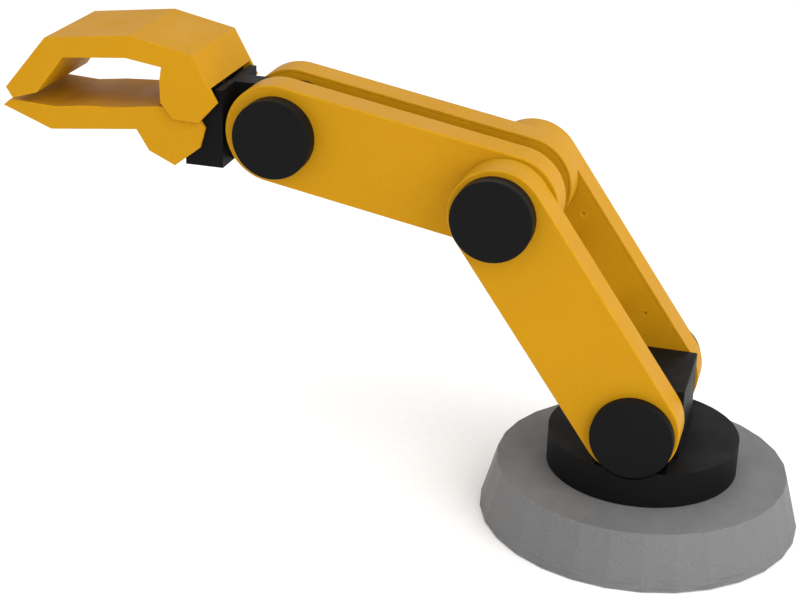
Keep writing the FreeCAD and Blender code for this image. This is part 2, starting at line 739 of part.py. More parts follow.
def shoulder_block():
    """Black box between the upper arm's plates, open below for the motor leads."""
    block = box(-BLOCK_X, BLOCK_X, -BLOCK_Y, BLOCK_Y, TURRET_Z1, BLOCK_Z1)
    block = block.makeChamfer(EDGE_CHAMFER, block.Edges)
    room_x = BLOCK_X - BLOCK_WALL
    room = box(-room_x, room_x, -STUB_Y, STUB_Y, TURRET_Z1, BLOCK_Z1 - BLOCK_WALL)
    posts = [zcyl(BLOCK_POST_R, TURRET_Z1, TURRET_Z1 + BLOCK_POST_T, x, y) for x, y in BLOCK_BOLTS]
    block = fuse([block.cut(room)] + posts)
    holes = both_sides(ycyl(SHAFT_R, STUB_Y, BLOCK_Y, SHOULDER))
    for x, y in BLOCK_BOLTS:
        holes.append(zcyl(SCREW_R, TURRET_Z1, TURRET_Z1 + BLOCK_BOLT_DEPTH, x, y))
    for at in stub_screw_places():
        holes += both_sides(ycyl(SMALL_SCREW_R, STUB_Y, BLOCK_Y - 1, at))
    return cut(block, holes)


def shoulder_stub():
    """Flanged stub on the +Y side: bolted inside the block, its shaft runs in the arm plate."""
    flange_y = STUB_Y - STUB_FLANGE_T
    flange = ycyl(STUB_FLANGE_R, flange_y, STUB_Y, SHOULDER)
    shaft = ycyl(SHAFT_R, STUB_Y, UPPER_Y1 - LINK_WALL - SHAFT_END_GAP, SHOULDER)
    holes = [ycyl(SMALL_SCREW_R, flange_y, STUB_Y, at) for at in stub_screw_places()]
    return cut(fuse([flange, shaft]), holes)


def shoulder_stub_screws():
    one_side = [y_screw(at, STUB_Y - STUB_FLANGE_T, BLOCK_Y - 1) for at in stub_screw_places()]
    return one_side + [mirrored(screw) for screw in one_side]


# ---- arm links, drawn on the +Y side in their own frame ------------------------------

def cover_screw_places(length):
    """Cover screws: one pair near each end of a link."""
    return [V(sx * COVER_SCREW_X, 0, z)
            for sx in (-1, 1) for z in (COVER_SCREW_END, length - COVER_SCREW_END)]


def motor_screw_places(z):
    return [polar(V(0, 0, z), MOTOR_SCREW_RING_R, 45 + 90 * i) for i in range(4)]


def link_tray(r, y0, y1, z0, z1, length, motor_ends=(), bearing_ends=(), socket_ends=()):
    """Hollow plate, open on its inner face. Each end is given by its height in the link:
    a motor seat, a bearing seat or a socket that grips a shaft."""
    inner_y = y0 + COVER_T
    roof_y = y1 - LINK_WALL
    screws_at = cover_screw_places(length)
    outside = stadium(r, y0, y1, z0, z1)
    outside = outside.makeChamfer(EDGE_CHAMFER, edges_at_y(outside, y1))
    lid_seat = stadium(r - COVER_INSET, y0, inner_y, z0, z1)
    room = stadium(r - LINK_RIM, inner_y, roof_y, z0, z1)
    tray = cut(outside, [lid_seat, room])
    adds = [ycyl(COVER_POST_R, inner_y, roof_y, at) for at in screws_at]
    hole_y = inner_y + COVER_SCREW_DEPTH + 0.5
    holes = [ycyl(SMALL_SCREW_R, inner_y, hole_y, at) for at in screws_at]
    for z in motor_ends:
        holes.append(ycyl(SEAT_OPEN_R, roof_y, y1, V(0, 0, z)))
        holes += [ycyl(SMALL_SCREW_R, roof_y, y1, at) for at in motor_screw_places(z)]
    for z in bearing_ends:
        at = V(0, 0, z)
        shelf_y = roof_y - BEARING_SHELF
        adds.append(ycyl(SEAT_OPEN_R + BEARING_RIM, inner_y + BEARING_SHELF, roof_y, at))
        holes.append(ycyl(BEARING_R, inner_y + BEARING_SHELF, shelf_y, at))
        holes.append(ycyl(SEAT_OPEN_R, shelf_y, y1, at))
    for z in socket_ends:
        at = V(0, 0, z)
        adds.append(ycyl(SHAFT_R + SOCKET_RIM, inner_y + COVER_GAP, roof_y, at))
        holes.append(ycyl(SHAFT_R, inner_y + BEARING_SHELF, y1, at))
    return cut(fuse([tray] + adds), holes)


def link_cover(r, y0, z0, z1, length, spacers, shaft_holes=()):
    """Flat lid on a tray's inner face. shaft_holes pairs a height with a radius."""
    inner_y = y0 + COVER_T
    lid = stadium(r - COVER_INSET - COVER_GAP, y0, inner_y, z0, z1)
    holes = [ycyl(radius, y0, inner_y, V(0, 0, z)) for z, radius in shaft_holes]
    for at in cover_screw_places(length):
        holes.append(ycyl(SMALL_SCREW_R, y0, inner_y, at))
        holes.append(ycyl(SMALL_HEAD_R, y0, y0 + SMALL_HEAD_T, at))
    holes += [ycyl(SCREW_R, y0, inner_y, V(0, 0, z)) for z in spacers]
    return cut(lid, holes)


def link_cover_screws(y0, length):
    tip_y = y0 + COVER_T + COVER_SCREW_DEPTH
    one_side = [y_screw(at, y0 + SMALL_HEAD_T, tip_y) for at in cover_screw_places(length)]
    return one_side + [mirrored(screw) for screw in one_side]


def link_spacers(y0, spacers):
    """Cross bars that tie the two plates of a link together."""
    bars = []
    for z in spacers:
        at = V(0, 0, z)
        bar = ycyl(SPACER_R, -y0, y0, at)
        bars.append(cut(bar, both_sides(ycyl(SCREW_R, y0 - SPACER_HOLE_DEPTH, y0, at))))
    return bars


def link_spacer_screws(y0, spacers):
    tip_y = y0 - SPACER_HOLE_DEPTH + 0.5
    size = (SCREW_R, SCREW_HEAD_R, SCREW_HEAD_T)
    one_side = [y_screw(V(0, 0, z), y0 + COVER_T, tip_y, *size) for z in spacers]
    return one_side + [mirrored(screw) for screw in one_side]


def joint_motor(y0, y1, z, shaft_r, plug_down):
    """Flat geared motor with a hollow output, and the plug for its lead on one side."""
    at = V(0, 0, z)
    body = ycyl(MOTOR_R, y0, y1, at)
    body = body.makeChamfer(MOTOR_CHAMFER, edges_at_y(body, y0))
    side = -1 if plug_down else 1
    plug_z = sorted((z, z + side * (MOTOR_R + PLUG_REACH)))
    plug = box(-PLUG_HALF_X, PLUG_HALF_X, y0 + 3, y1 - 4, plug_z[0], plug_z[1])
    holes = [ycyl(shaft_r + RUNNING_CLEARANCE, y0, y1, at)]
    holes += [ycyl(SMALL_SCREW_R, y1 - MOTOR_SCREW_DEPTH, y1, place)
              for place in motor_screw_places(z)]
    return cut(fuse([body, plug]), holes)


def motor_screws(y1, z):
    tip_y = y1 - LINK_WALL - MOTOR_SCREW_DEPTH + 0.5
    return [y_screw(at, y1, tip_y) for at in motor_screw_places(z)]


def joint_cap(r, y1, z, depth=CAP_DEPTH):
    """Round cap: a cup with a ring that snaps into the opening of the arm plate."""
    at = V(0, 0, z)
    roof_y = y1 + depth - CAP_WALL
    cup = ycyl(r, y1, y1 + depth, at)
    cup = cup.makeChamfer(EDGE_CHAMFER, edges_at_y(cup, y1 + depth))
    cup = cup.cut(ycyl(r - CAP_WALL, y1, roof_y, at))
    snap_r = SEAT_OPEN_R - SNAP_GAP
    snap = ring(snap_r, snap_r - SNAP_DEPTH, y1 - SNAP_DEPTH, roof_y, at)
    return fuse([cup, snap])


def bearing(y0, y1, z, shaft_r):
    """Plain bush for the idler side of a joint."""
    return ring(BEARING_R, shaft_r + RUNNING_CLEARANCE, y0, y1, V(0, 0, z))


def flat_lead(y_wall, z0, z1):
    """Ribbon lead lying on the inside of a tray's outer wall."""
    top_y = y_wall - LEAD_GAP
    return box(-LEAD_HALF_X, LEAD_HALF_X, top_y - LEAD_T, top_y, z0, z1)


# ---- upper arm -----------------------------------------------------------------------

def upper_arm():
    z0 = UPPER_LOW_SHIFT
    z1 = UPPER_LENGTH + UPPER_HIGH_SHIFT
    ends = (0.0, UPPER_LENGTH)
    room_y0 = UPPER_Y0 + COVER_T
    room_y1 = UPPER_Y1 - LINK_WALL
    clear = SHAFT_R + WALL_CLEARANCE
    shell = (UPPER_R, UPPER_Y0, UPPER_Y1, z0, z1, UPPER_LENGTH)
    left = mirrored(link_tray(*shell, motor_ends=ends))
    save("upper_arm_left_shell", [left], on_upper)
    save("upper_arm_right_shell", [link_tray(*shell, bearing_ends=ends)], on_upper)
    lid = link_cover(UPPER_R, UPPER_Y0, z0, z1, UPPER_LENGTH, UPPER_SPACERS,
                     [(z, clear) for z in ends])
    save("upper_arm_left_cover", [mirrored(lid)], on_upper)
    save("upper_arm_right_cover", [lid], on_upper)
    save("upper_arm_spacers", link_spacers(UPPER_Y0, UPPER_SPACERS), on_upper)
    screws = link_cover_screws(UPPER_Y0, UPPER_LENGTH)
    screws += link_spacer_screws(UPPER_Y0, UPPER_SPACERS)
    screws += [mirrored(s) for z in ends for s in motor_screws(UPPER_Y1, z)]
    save("upper_arm_screws", screws, on_upper)
    for name, z, low in (("shoulder", 0.0, False), ("elbow", UPPER_LENGTH, True)):
        motor = joint_motor(room_y0 + MOTOR_GAP, room_y1, z, SHAFT_R, low)
        save(name + "_motor", [mirrored(motor)], on_upper)
        bush = bearing(room_y0 + BEARING_SHELF, room_y1 - BEARING_SHELF, z, SHAFT_R)
        save(name + "_bearing", [bush], on_upper)
    left_cap = mirrored(joint_cap(SHOULDER_CAP_R, UPPER_Y1, 0.0, SHOULDER_LEFT_CAP_DEPTH))
    right_cap = joint_cap(SHOULDER_CAP_R, UPPER_Y1, 0.0, SHOULDER_RIGHT_CAP_DEPTH)
    save("shoulder_caps", [left_cap, right_cap], on_upper)
    elbow_cap = joint_cap(ELBOW_CAP_R, UPPER_Y1, UPPER_LENGTH)
    save("elbow_caps", both_sides(elbow_cap), on_upper)
    plug_end = MOTOR_R + PLUG_REACH
    lead = flat_lead(room_y1, plug_end, UPPER_LENGTH - plug_end)
    save("upper_arm_lead", [mirrored(lead)], on_upper)


# ---- forearm -------------------------------------------------------------------------

def forearm():
    z0 = FORE_LOW_SHIFT
    z1 = FORE_LENGTH + FORE_HIGH_SHIFT
    room_y0 = FORE_Y0 + COVER_T
    room_y1 = FORE_Y1 - LINK_WALL
    wrist = (FORE_LENGTH,)
    shell = (FORE_R, FORE_Y0, FORE_Y1, z0, z1, FORE_LENGTH)
    left = mirrored(link_tray(*shell, motor_ends=wrist, socket_ends=(0.0,)))
    right = link_tray(*shell, bearing_ends=wrist, socket_ends=(0.0,))
    save("forearm_left_shell", [left], on_fore)
    save("forearm_right_shell", [right], on_fore)
    lid = link_cover(FORE_R, FORE_Y0, z0, z1, FORE_LENGTH, FORE_SPACERS,
                     [(FORE_LENGTH, WRIST_SHAFT_R + WALL_CLEARANCE)])
    save("forearm_left_cover", [mirrored(lid)], on_fore)
    save("forearm_right_cover", [lid], on_fore)
    save("forearm_spacers", link_spacers(FORE_Y0, FORE_SPACERS), on_fore)
    screws = link_cover_screws(FORE_Y0, FORE_LENGTH)
    screws += link_spacer_screws(FORE_Y0, FORE_SPACERS)
    screws += [mirrored(s) for s in motor_screws(FORE_Y1, FORE_LENGTH)]
    save("forearm_screws", screws, on_fore)
    stub = ycyl(SHAFT_R, room_y0 + BEARING_SHELF, UPPER_Y1 - LINK_WALL - SHAFT_END_GAP)
    save("elbow_drive_shaft", [mirrored(stub)], on_fore)
    save("elbow_idler_pin", [stub], on_fore)
    motor = joint_motor(room_y0 + MOTOR_GAP, room_y1, FORE_LENGTH, WRIST_SHAFT_R, True)
    save("wrist_motor", [mirrored(motor)], on_fore)
    bush = bearing(room_y0 + BEARING_SHELF, room_y1 - BEARING_SHELF, FORE_LENGTH, WRIST_SHAFT_R)
    save("wrist_bearing", [bush], on_fore)
    save("wrist_caps", both_sides(joint_cap(WRIST_CAP_R, FORE_Y1, FORE_LENGTH)), on_fore)
    lead_start = SHAFT_R + SOCKET_RIM + LEAD_START_GAP
    lead = flat_lead(room_y1, lead_start, FORE_LENGTH - MOTOR_R - PLUG_REACH)
    save("forearm_lead", [mirrored(lead)], on_fore)


# ---- gears ---------------------------------------------------------------------------

def spur_gear(teeth, y0, y1, centre, phase):
    """Straight-flanked spur gear; phase is the angle of one tooth's middle."""
    pitch_r = GEAR_MODULE * teeth / 2
    root_r = pitch_r - 1.25 * GEAR_MODULE
    tip_r = pitch_r + 0.9 * GEAR_MODULE
    step = 360.0 / teeth
    outline = []
    for i in range(teeth):
        middle = phase + i * step
        for radius, share in ((root_r, -0.30), (tip_r, -0.12), (tip_r, 0.12), (root_r, 0.30)):
            p = polar(centre, radius, middle + share * step)
            outline.append((p.x, p.z))
    return slab(outline, y0, y1)


def lower_jaw_gear():
    gear = spur_gear(JAW_TEETH, -GEAR_Y, GEAR_Y, LOWER_PIVOT, PIVOT_ANGLE)
    return gear.cut(ycyl(JAW_SHAFT_R, -GEAR_Y, GEAR_Y, LOWER_PIVOT))


def wedge_at_upper_pivot(angles, half_y):
    """A fan of rays from the upper pivot, as a thick slab."""
    rays = [polar(UPPER_PIVOT, BEYOND, a) for a in angles]
    outline = [(UPPER_PIVOT.x, UPPER_PIVOT.z)] + [(p.x, p.z) for p in rays]
    return slab(outline, -half_y, half_y)


def upper_jaw_gear():
    """Toothed only where it can meet the lower gear; the rest is a plain hub."""
    toward_lower = PIVOT_ANGLE + 180
    half_tooth = 180.0 / JAW_TEETH
    gear = spur_gear(JAW_TEETH, -GEAR_Y, GEAR_Y, UPPER_PIVOT, toward_lower + half_tooth)
    wedge = wedge_at_upper_pivot([toward_lower + a for a in (-72, -36, 0, 36, 72)], GEAR_Y)
    hub = ycyl(GEAR_HUB_R, -GEAR_Y, GEAR_Y, UPPER_PIVOT)
    sector = fuse([gear.common(wedge), hub])
    return sector.cut(ycyl(JAW_SHAFT_R, -GEAR_Y, GEAR_Y, UPPER_PIVOT))


def gripper_pinion():
    half_tooth = 180.0 / PINION_TEETH
    phase = PINION_ANGLE + 180 + half_tooth
    gear = spur_gear(PINION_TEETH, -GEAR_Y, GEAR_Y, PINION_AXIS, phase)
    shaft = ycyl(PINION_SHAFT_R, GEAR_Y, PINION_SHAFT_Y, PINION_AXIS)
    return fuse([gear, shaft])


# ---- palm ----------------------------------------------------------------------------

def palm_solid():
    """Tongue that turns between the forearm plates, and the box that holds the gripper drive."""
    tongue = fuse([ycyl(TONGUE_R, -TONGUE_Y, TONGUE_Y),
                   box(PALM_X1, 0, -TONGUE_Y, TONGUE_Y, -TONGUE_R, PALM_Z1)])
    above = box(-TONGUE_R, TONGUE_R, -TONGUE_Y, TONGUE_Y, PALM_Z1, TONGUE_R + 1)
    palm = box(PALM_X0, PALM_X1, -PALM_Y, PALM_Y, PALM_Z0, PALM_Z1)
    lower_lug = fuse([ycyl(LUG_R, LUG_Y0, PALM_Y, LOWER_PIVOT),
                      box(LOWER_PIVOT.x, PALM_X0 + 1, LUG_Y0, PALM_Y,
                          LOWER_PIVOT.z - LUG_R, LOWER_PIVOT.z + LUG_R)])
    upper_lug = ycyl(UPPER_LUG_R, LUG_Y0, PALM_Y, UPPER_PIVOT)
    solid = fuse([tongue.cut(above), palm] + both_sides(lower_lug) + both_sides(upper_lug))
    inside_y = PALM_Y - PALM_WALL
    room = box(PALM_X0 + PALM_WALL, PALM_X1 - PALM_WALL, -inside_y, inside_y,
               PALM_Z0 + PALM_WALL, PALM_CAVITY_Z1)
    posts = [ycyl(POST_R, -inside_y, inside_y, at) for at in PALM_POSTS]
    solid = fuse([solid.cut(room)] + posts)
    gear_room_r = JAW_PITCH_R + GEAR_MODULE + GEAR_ROOM
    gear_room_y = GEAR_Y + GEAR_ROOM
    holes = []
    for centre in (LOWER_PIVOT, UPPER_PIVOT):
        holes.append(ycyl(gear_room_r, -gear_room_y, gear_room_y, centre))
        holes.append(ycyl(JAW_BUSH_R, -PALM_Y, PALM_Y, centre))
    holes.append(jaw_wall_groove())
    return cut(solid, holes)


def jaw_wall_groove():
    """Arc-shaped groove that the upper jaw's back wall swings down into."""
    width = PALM_Y + 1
    wedge = wedge_at_upper_pivot((-15, 20, 55), width)
    return ring(GROOVE_OUT_R, GROOVE_IN_R, -width, width, UPPER_PIVOT).common(wedge)


def palm_half(side):
    """One half of the palm, split on the arm's middle plane, bored for the wrist shafts."""
    reach = 2 * BEYOND
    keep = box(-reach, reach, -reach, 0, -reach, reach)
    if side > 0:
        keep = mirrored(keep)
    half = palm_solid().common(keep)
    holes = [ycyl(WRIST_SHAFT_R, -TONGUE_Y, TONGUE_Y)]
    for at in PALM_SCREWS:
        depth = palm_screw_reach(at)
        holes.append(ycyl(SMALL_SCREW_R, -depth + PALM_SCREW_END_WALL, depth, at))
        holes.append(ycyl(SMALL_HEAD_R, depth - SMALL_HEAD_T, depth, at))
    return cut(half, holes)


def palm_screw_reach(at):
    """Half-width of the palm where a screw crosses it."""
    return PALM_Y if at.x < PALM_X1 else TONGUE_Y


def palm_screws():
    """Driven from the right-hand side, heads sunk flush."""
    screws = []
    for at in PALM_SCREWS:
        depth = palm_screw_reach(at)
        screws.append(y_screw(at, depth - SMALL_HEAD_T, -depth + PALM_SCREW_END_WALL))
    return screws


def palm():
    save("palm_left_half", [palm_half(-1)], on_wrist)
    save("palm_right_half", [palm_half(1)], on_wrist)
    save("palm_screws", palm_screws(), on_wrist)
    stub = ycyl(WRIST_SHAFT_R, WRIST_SHAFT_GAP, FORE_Y1 - LINK_WALL - WRIST_SHAFT_END_GAP)
    save("wrist_idler_pin", [stub], on_wrist)
    save("wrist_drive_shaft", [mirrored(stub)], on_wrist)
    save("gripper_servo", [gripper_servo()], on_wrist)
    bush = ring(JAW_BUSH_R, JAW_SHAFT_R + RUNNING_CLEARANCE, LUG_Y0, PALM_Y)
    bushes = [bush.translated(LOWER_PIVOT), bush.translated(UPPER_PIVOT)]
    save("jaw_bushes", bushes + [mirrored(b) for b in bushes], on_wrist)


def gripper_servo():
    """Small servo inside the palm; its output carries the pinion."""
    nose_y = GEAR_Y + GEAR_ROOM + 0.1
    body = box(PINION_AXIS.x - SERVO_HALF_X, PINION_AXIS.x + SERVO_HALF_X, SERVO_Y0, SERVO_Y1,
               PINION_AXIS.z - SERVO_HALF_Z, PINION_AXIS.z + SERVO_HALF_Z)
    body = fuse([body, ycyl(SERVO_NOSE_R, nose_y, SERVO_Y0, PINION_AXIS)])
    bore_r = PINION_SHAFT_R + RUNNING_CLEARANCE
    return body.cut(ycyl(bore_r, nose_y, PINION_SHAFT_Y + 1, PINION_AXIS))


# ---- jaws ----------------------------------------------------------------------------

def inset_line(p, q, depth):
    """Slope form of the line p-q moved to its right-hand side: returns z at a given x."""
    length = math.hypot(q[0] - p[0], q[1] - p[1])
    shift_x = depth * (q[1] - p[1]) / length
    shift_z = -depth * (q[0] - p[0]) / length
    slope = (q[1] - p[1]) / (q[0] - p[0])
    offset = p[1] + shift_z - slope * (p[0] + shift_x)
    return slope, offset


def hood_room():
    """The space inside the upper jaw's hood: under its roof and back wall, open below."""
    roof_start, corner, back_end = UPPER_JAW_OUTSIDE[2:]
    roof_slope, roof_offset = inset_line(roof_start, corner, JAW_WALL)
    back_slope, back_offset = inset_line(corner, back_end, JAW_WALL)
    corner_x = (back_offset - roof_offset) / (roof_slope - back_slope)
    edge_x = (HOOD_EDGE_Z - back_offset) / back_slope
    outline = [
        (HOOD_FRONT_X, -BEYOND),
        (HOOD_FRONT_X, roof_slope * HOOD_FRONT_X + roof_offset),
        (corner_x, roof_slope * corner_x + roof_offset),
        (edge_x, HOOD_EDGE_Z),
        (0.0, HOOD_EDGE_Z),
        (0.0, -BEYOND)]
    return slab(outline, -UPPER_CHEEK_Y, UPPER_CHEEK_Y)


def shaft_sockets(cheek_y, pivot):
    return both_sides(ycyl(JAW_SHAFT_R, cheek_y, cheek_y + SOCKET_DEPTH, pivot))


def upper_jaw():
    """Solid finger in front; behind, a hood with two cheeks that straddle the palm."""
    jaw = slab(UPPER_JAW_OUTSIDE + UPPER_JAW_REST, -UPPER_JAW_Y, UPPER_JAW_Y)
    return cut(jaw, [hood_room()] + shaft_sockets(UPPER_CHEEK_Y, UPPER_PIVOT))


def lower_jaw():
    """Solid finger in front; behind, two cheeks inside those of the upper jaw."""
    jaw = slab(LOWER_JAW_OUTLINE, -LOWER_JAW_Y, LOWER_JAW_Y)
    y = LOWER_CHEEK_Y
    gear_room = ycyl(JAW_PITCH_R + GEAR_MODULE + 1.6, -y, y, LOWER_PIVOT)
    under_ledge = box(-100, 0, -y, y, -BEYOND, LOWER_LEDGE_Z)
    holes = [box(LOWER_LEDGE_X, 0, -y, y, -BEYOND, BEYOND)]
    holes.append(box(LOWER_WEB_X, 0, -y, y, -BEYOND, LOWER_LEDGE_Z))
    holes.append(gear_room.common(under_ledge))
    return cut(jaw, holes + shaft_sockets(LOWER_CHEEK_Y, LOWER_PIVOT))


def jaw_shaft(cheek_y, pivot):
    reach = cheek_y + SOCKET_DEPTH
    return ycyl(JAW_SHAFT_R, -reach, reach, pivot)


# ---- the whole arm -------------------------------------------------------------------

def base():
    shell_places, motor_places = plate_holes()
    save("base_shell", [base_shell()])
    save("base_plate", [base_plate()])
    save("rubber_feet", rubber_feet())
    screws = screws_up(shell_places, BOSS_SCREW_DEPTH - 2)
    screws += screws_up(motor_places, MOTOR_SCREW_DEPTH - 1)
    save("base_screws", screws + slew_race_screws())
    save("control_board", [control_board()])
    save("board_parts", board_parts())
    save("board_standoffs", board_standoffs())
    save("port_panel", [port_panel()])
    save("power_inlet", [power_inlet()])
    save("usb_socket", [usb_socket()])
    save("slew_outer_race", [slew_outer_race()])
    save("slew_balls", slew_balls())
    save("yaw_motor", [yaw_motor()])


def turret():
    save("slew_inner_race", [slew_inner_race()])
    save("yaw_shaft", [yaw_shaft()])
    save("turret_hub", [turret_hub()])
    save("turret_housing", [turret_housing()])
    save("turret_screws", turret_screws() + shoulder_stub_screws())
    save("shoulder_block", [shoulder_block()])
    save("shoulder_drive_shaft", [mirrored(shoulder_stub())])
    save("shoulder_idler_pin", [shoulder_stub()])


def gripper():
    save("gripper_pinion", [gripper_pinion()], on_wrist)
    save("lower_jaw", [lower_jaw()], on_wrist)
    save("lower_jaw_gear", [lower_jaw_gear()], on_wrist)
    save("lower_jaw_shaft", [jaw_shaft(LOWER_CHEEK_Y, LOWER_PIVOT)], on_wrist)
    save("upper_jaw", [upper_jaw()], on_wrist)
    save("upper_jaw_gear", [upper_jaw_gear()], on_wrist)
    save("upper_jaw_shaft", [jaw_shaft(UPPER_CHEEK_Y, UPPER_PIVOT)], on_wrist)


def main():
    os.makedirs("parts", exist_ok=True)
    base()
    turret()
    upper_arm()
    forearm()
    palm()
    gripper()


main()
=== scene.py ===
import json
import math

import bmesh
import bpy
from mathutils import Matrix, Vector

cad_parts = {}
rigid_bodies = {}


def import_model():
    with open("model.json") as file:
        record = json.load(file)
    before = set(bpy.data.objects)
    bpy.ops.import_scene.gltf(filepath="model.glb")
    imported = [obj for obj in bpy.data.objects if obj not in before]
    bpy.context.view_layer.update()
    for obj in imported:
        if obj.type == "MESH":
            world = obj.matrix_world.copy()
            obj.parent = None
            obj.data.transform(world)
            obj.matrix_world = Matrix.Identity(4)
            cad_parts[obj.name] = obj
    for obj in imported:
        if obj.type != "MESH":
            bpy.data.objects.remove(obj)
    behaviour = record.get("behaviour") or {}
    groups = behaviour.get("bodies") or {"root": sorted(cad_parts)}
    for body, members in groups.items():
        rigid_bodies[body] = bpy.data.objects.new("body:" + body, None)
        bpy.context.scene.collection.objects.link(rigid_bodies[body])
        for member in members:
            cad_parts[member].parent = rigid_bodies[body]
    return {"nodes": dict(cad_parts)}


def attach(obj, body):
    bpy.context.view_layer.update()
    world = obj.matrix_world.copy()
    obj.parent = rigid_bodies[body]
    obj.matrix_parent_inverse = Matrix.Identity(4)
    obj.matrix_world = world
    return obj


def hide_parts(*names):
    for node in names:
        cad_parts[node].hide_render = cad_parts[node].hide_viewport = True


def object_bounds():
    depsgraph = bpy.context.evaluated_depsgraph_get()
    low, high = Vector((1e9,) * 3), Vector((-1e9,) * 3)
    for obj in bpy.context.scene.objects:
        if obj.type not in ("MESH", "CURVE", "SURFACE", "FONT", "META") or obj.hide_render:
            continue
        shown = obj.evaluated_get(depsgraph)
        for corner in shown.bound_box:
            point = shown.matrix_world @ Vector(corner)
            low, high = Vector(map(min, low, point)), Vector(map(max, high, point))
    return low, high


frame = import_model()

# Desktop robot arm. Lengths are in metres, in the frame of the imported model. Every visible piece
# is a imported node's own shape, with its edges rounded and a procedural finish.
CAD_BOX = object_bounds()

# ---- camera, floor and lights ----------------------------------------------------

CAMERA_PLACE = (0.1012, -0.8921, 0.5002)
CAMERA_YAW = math.radians(15.27)
CAMERA_PITCH = math.radians(22.95)
CAMERA_ROLL = math.radians(1.70)
CAMERA_LENS = 80.39
CAMERA_SENSOR = 36.0
CAMERA_NEAREST = 0.01
CAMERA_FARTHEST = 100.0

WHITE = (1.0, 1.0, 1.0)
KEY_DIRECTION = Vector((0.75, -0.43, 0.50))
KEY_DISTANCE = 2.4
KEY_SIZE = 2.2
KEY_POWER = 44.0
FILL_DIRECTION = Vector((-0.85, -0.40, 0.30))
FILL_DISTANCE = 1.6
FILL_SIZE = 0.9
FILL_POWER = 2.2
SKY_STRENGTH = 1.04
FLOOR_HALF = 9.0


def make_camera():
    """The camera at the photographed angle: yaw, then pitch down, then a small roll."""
    cy, sy = math.cos(CAMERA_YAW), math.sin(CAMERA_YAW)
    cp, sp = math.cos(CAMERA_PITCH), math.sin(CAMERA_PITCH)
    forward = Vector((-sy * cp, cy * cp, -sp))
    right = Vector((cy, sy, 0.0))
    up = right.cross(forward)
    cr, sr = math.cos(CAMERA_ROLL), math.sin(CAMERA_ROLL)
    side = right * cr + up * sr
    top = up * cr - right * sr
    data = bpy.data.cameras.new("camera")
    data.lens = CAMERA_LENS
    data.sensor_width = CAMERA_SENSOR
    data.clip_start = CAMERA_NEAREST
    data.clip_end = CAMERA_FARTHEST
    camera = bpy.data.objects.new("camera", data)
    bpy.context.collection.objects.link(camera)
    turn = Matrix((side, top, -forward)).transposed().to_4x4()
    camera.matrix_world = Matrix.Translation(CAMERA_PLACE) @ turn
    bpy.context.scene.camera = camera


def make_light(name, direction, distance, size, power):
    """A square white light that looks at the middle of the object from the given direction."""
    target = (CAD_BOX[0] + CAD_BOX[1]) / 2
    data = bpy.data.lights.new(name, "AREA")
    data.shape = "SQUARE"
    data.size = size
    data.energy = power
    data.color = WHITE
    light = bpy.data.objects.new(name, data)
    bpy.context.collection.objects.link(light)
    back = direction.normalized()
    light.rotation_mode = "QUATERNION"
    light.rotation_quaternion = back.to_track_quat("Z", "Y")
    light.location = target + back * distance


def make_world():
    """An even white room."""
    world = bpy.data.worlds.new("studio")
    world.use_nodes = True
    background = world.node_tree.nodes["Background"]
    background.inputs["Color"].default_value = (*WHITE, 1.0)
    background.inputs["Strength"].default_value = SKY_STRENGTH
    bpy.context.scene.world = world


# ---- node materials --------------------------------------------------------------
# Texture scales are in cycles per metre, and relief depths are in metres.

# The dot product of the true and the rounded normal, on a full edge and on a flat
EDGE_TURNED = 0.93
EDGE_FLAT = 0.995
EDGE_SAMPLES = 4
# Each set of scratches: its turn, its scales across and along, and how wide a line is
SCRATCH_SETS = (
    ((0.4, 0.3, 0.9), 620.0, 16.0, 0.006),
    ((1.1, 0.5, 0.2), 760.0, 24.0, 0.005),
    ((0.2, 1.3, 1.7), 540.0, 20.0, 0.005),
)

PLASTIC_IOR = 1.47
PLASTIC_EDGE_REACH = 0.0010
PLASTIC_GRAIN_DEPTH = 0.00012
PLASTIC_SCRATCH_DEPTH = 0.00006
PLASTIC_WAVE_DEPTH = 0.0005
COAT_IOR = 1.50
COAT_GLOSS = 0.12
COAT_DUST = 0.06
COAT_EDGE_REACH = 0.0012
COAT_PEEL_DEPTH = 0.00020
COAT_SCRATCH_DEPTH = 0.00006
COAT_SCUFF_TOP = 0.010
COAT_SCUFF_FULL = 0.002
RUBBER_IOR = 1.52
RUBBER_GLOSS = 0.25
RUBBER_PEBBLE_DEPTH = 0.00015
METAL_OIL_SHADE = 0.84
METAL_BAND_SCALE = 0.22
METAL_MARK_DEPTH = 0.00005
METAL_SCRATCH_DEPTH = 0.00004
BRONZE_PORE_DEPTH = 0.00010
BOARD_TRACK_DEPTH = 0.00005
LEAD_IOR = 1.50
LEAD_GLOSS = 0.3
LEAD_WEAVE_DEPTH = 0.00025
CARD_ROUGHNESS = 0.95
CARD_FIBRE_DEPTH = 0.0002

DUST = (0.46, 0.44, 0.40, 1.0)
CHALK = (0.10, 0.10, 0.095, 1.0)
SOLDER = (0.62, 0.62, 0.60, 1.0)
BLOOM = (0.09, 0.09, 0.09, 1.0)
CARD_DARK = (0.93, 0.93, 0.93, 1.0)
CARD_LIGHT = (0.96, 0.96, 0.96, 1.0)

YELLOW = (0.484, 0.234, 0.0050)
BLACK = (0.0062, 0.0062, 0.0063)
BASE_GREY = (0.146, 0.146, 0.146)
PLATE_GREY = (0.035, 0.035, 0.037)
FOOT_BLACK = (0.018, 0.018, 0.018)
SERVO_BLACK = (0.02, 0.021, 0.024)
CHIP_BLACK = (0.015, 0.015, 0.016)
BOARD_GREEN = (0.008, 0.075, 0.030)
LEAD_BLACK = (0.03, 0.03, 0.03)
BRONZE = (0.52, 0.33, 0.16)

